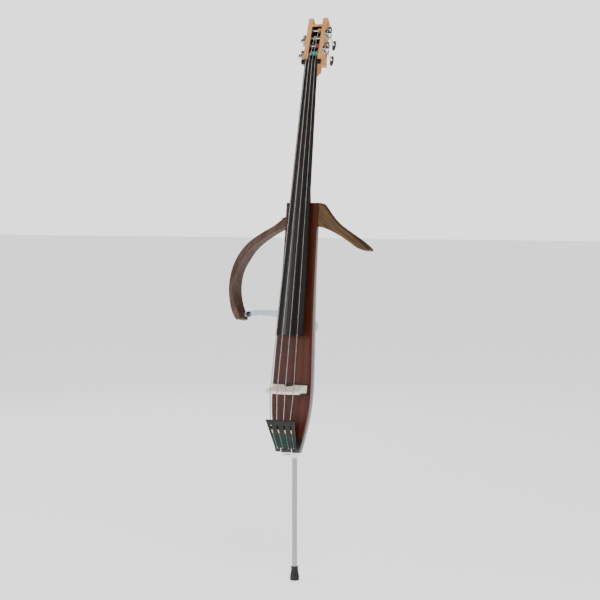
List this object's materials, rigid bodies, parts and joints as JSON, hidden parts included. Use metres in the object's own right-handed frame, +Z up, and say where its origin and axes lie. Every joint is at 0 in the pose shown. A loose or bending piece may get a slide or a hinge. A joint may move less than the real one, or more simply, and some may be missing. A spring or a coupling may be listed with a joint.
{
  "type": "electric upright bass",
  "caption": "slim hollow wooden body on an endpin, long neck with fingerboard, worm-gear machine heads, bridge, tailpiece, detachable bowed arms and a clear rest bar",
  "frame": {"origin": "middle of the endpin tip's foot, where it stands on the floor", "axes": "+Z up along the endpin, -Y to the front (strings), +X to the right seen from the front"},
  "size_m": [0.4688, 0.3298, 1.739],
  "materials": {
    "mahogany": "gloss dark red-brown lacquer",
    "maple": "satin clear varnish",
    "bridge_maple": "bare, oiled",
    "ebony": "oiled",
    "walnut": "matte oil",
    "black_plastic": "semi-gloss",
    "black_metal": "satin black",
    "knob_plastic": "fine texture",
    "clear_plastic": "polished clear acrylic",
    "tip_rubber": "matte",
    "tube_steel": "dark, polished",
    "string_steel": "fine flat winding",
    "silk_teal": "wound silk",
    "silk_red": "wound silk",
    "silk_yellow": "wound silk",
    "silk_gold": "wound silk",
    "board_green": "solder mask",
    "battery_steel": "painted sleeve",
    "gear_brass": "cut teeth",
    "jack_nickel": "nickel plated",
    "machine_chrome": "polished"
  },
  "bodies": {
    "main": {"battery": "battery_steel", "body_front": "mahogany", "body_shell": "mahogany", "bridge": "bridge_maple", "bridge_base": "black_plastic", "bridge_pickup": "board_green", "circuit_board": "board_green", "control_plate": "knob_plastic", "end_cap": "black_plastic", "endpin_collar": "machine_chrome", "fingerboard": "ebony", "machine_plate_1": "machine_chrome", "machine_plate_2": "machine_chrome", "machine_plate_3": "machine_chrome", "machine_plate_4": "machine_chrome", "machine_screws": "machine_chrome", "neck": "maple", "nut": "ebony", "output_jack": "jack_nickel", "pegbox": "maple", "string_a": "string_steel", "string_d": "string_steel", "string_e": "string_steel", "string_g": "string_steel", "tail_wire": "machine_chrome", "tailpiece": "black_metal"},
    "endpin": {"endpin_tube": "tube_steel", "endpin_tip": "tip_rubber"},
    "clamp_screw": {"endpin_screw": "machine_chrome"},
    "left_arm": {"left_arm": "walnut"},
    "right_arm": {"right_arm": "walnut"},
    "left_arm_bolt": {"left_arm_bolt": "knob_plastic"},
    "right_arm_bolt": {"right_arm_bolt": "knob_plastic"},
    "rest_bar": {"rest_bar": "clear_plastic"},
    "rest_knob": {"rest_knob": "knob_plastic"},
    "volume": {"volume_knob": "knob_plastic"},
    "tone": {"tone_knob": "knob_plastic"},
    "battery_door": {"battery_door": "knob_plastic"},
    "post_1": {"post_1": "machine_chrome", "winding_1": "silk_teal", "gear_1": "gear_brass"},
    "key_1": {"key_1": "machine_chrome", "worm_1": "machine_chrome"},
    "post_2": {"post_2": "machine_chrome", "winding_2": "silk_red", "gear_2": "gear_brass"},
    "key_2": {"key_2": "machine_chrome", "worm_2": "machine_chrome"},
    "post_3": {"post_3": "machine_chrome", "winding_3": "silk_yellow", "gear_3": "gear_brass"},
    "key_3": {"key_3": "machine_chrome", "worm_3": "machine_chrome"},
    "post_4": {"post_4": "machine_chrome", "winding_4": "silk_gold", "gear_4": "gear_brass"},
    "key_4": {"key_4": "machine_chrome", "worm_4": "machine_chrome"}
  },
  "joints": [
    {"name": "endpin_slide", "type": "slide", "parent": "main", "child": "endpin", "axis": [0, 0, 1], "range_m": [-0.03, 0.14]},
    {"name": "clamp_screw_turn", "type": "hinge", "parent": "main", "child": "clamp_screw", "pos_m": [-0.02, 0, 0.389], "axis": [-1, 0, 0], "continuous": true},
    {"name": "left_arm_off", "type": "slide", "parent": "main", "child": "left_arm", "axis": [-1, 0, 0], "range_m": [0, 0.03]},
    {"name": "right_arm_off", "type": "slide", "parent": "main", "child": "right_arm", "axis": [1, 0, 0], "range_m": [0, 0.03]},
    {"name": "left_arm_bolt_turn", "type": "hinge", "parent": "main", "child": "left_arm_bolt", "pos_m": [-0.04, 0.10466, 1.09848], "axis": [0, 0.99, -0.1409], "continuous": true},
    {"name": "right_arm_bolt_turn", "type": "hinge", "parent": "main", "child": "right_arm_bolt", "pos_m": [0.04, 0.10466, 1.09848], "axis": [0, 0.99, -0.1409], "continuous": true},
    {"name": "rest_bar_tilt", "type": "hinge", "parent": "left_arm", "child": "rest_bar", "pos_m": [-0.186, 0.045, 0.815], "axis": [1, 0, 0], "range_deg": [-20, 20]},
    {"name": "rest_knob_turn", "type": "hinge", "parent": "left_arm", "child": "rest_knob", "pos_m": [-0.18, 0.045, 0.815], "axis": [1, 0, 0], "continuous": true},
    {"name": "volume_turn", "type": "hinge", "parent": "main", "child": "volume", "pos_m": [-0.011, 0.08206, 0.76938], "axis": [0, 0.99, -0.1409], "range_deg": [-150, 150]},
    {"name": "tone_turn", "type": "hinge", "parent": "main", "child": "tone", "pos_m": [0.011, 0.08206, 0.76938], "axis": [0, 0.99, -0.1409], "range_deg": [-150, 150]},
    {"name": "battery_door_open", "type": "hinge", "parent": "main", "child": "battery_door", "pos_m": [0, 0.06575, 0.66363], "axis": [-1, 0, 0], "range_deg": [0, 85]},
    {"name": "key_1_turn", "type": "hinge", "parent": "main", "child": "key_1", "pos_m": [-0.04, 0.13855, 1.61271], "axis": [0, 0.7976, -0.6032], "continuous": true},
    {"name": "post_1_turn", "type": "hinge", "parent": "main", "child": "post_1", "pos_m": [0, 0.14905, 1.62659], "axis": [1, 0, 0], "continuous": true},
    {"name": "key_2_turn", "type": "hinge", "parent": "main", "child": "key_2", "pos_m": [0.04, 0.14749, 1.63712], "axis": [0, 0.7976, -0.6032], "continuous": true},
    {"name": "post_2_turn", "type": "hinge", "parent": "main", "child": "post_2", "pos_m": [0, 0.15798, 1.651], "axis": [1, 0, 0], "continuous": true},
    {"name": "key_3_turn", "type": "hinge", "parent": "main", "child": "key_3", "pos_m": [-0.04, 0.15642, 1.66154], "axis": [0, 0.7976, -0.6032], "continuous": true},
    {"name": "post_3_turn", "type": "hinge", "parent": "main", "child": "post_3", "pos_m": [0, 0.16692, 1.67542], "axis": [1, 0, 0], "continuous": true},
    {"name": "key_4_turn", "type": "hinge", "parent": "main", "child": "key_4", "pos_m": [0.04, 0.16536, 1.68596], "axis": [0, 0.7976, -0.6032], "continuous": true},
    {"name": "post_4_turn", "type": "hinge", "parent": "main", "child": "post_4", "pos_m": [0, 0.17585, 1.69984], "axis": [1, 0, 0], "continuous": true}
  ],
  "couplings": [
    {"joint": "key_1_turn", "follows": "post_1_turn", "ratio": 20},
    {"joint": "key_2_turn", "follows": "post_2_turn", "ratio": 20},
    {"joint": "key_3_turn", "follows": "post_3_turn", "ratio": 20},
    {"joint": "key_4_turn", "follows": "post_4_turn", "ratio": 20}
  ]
}
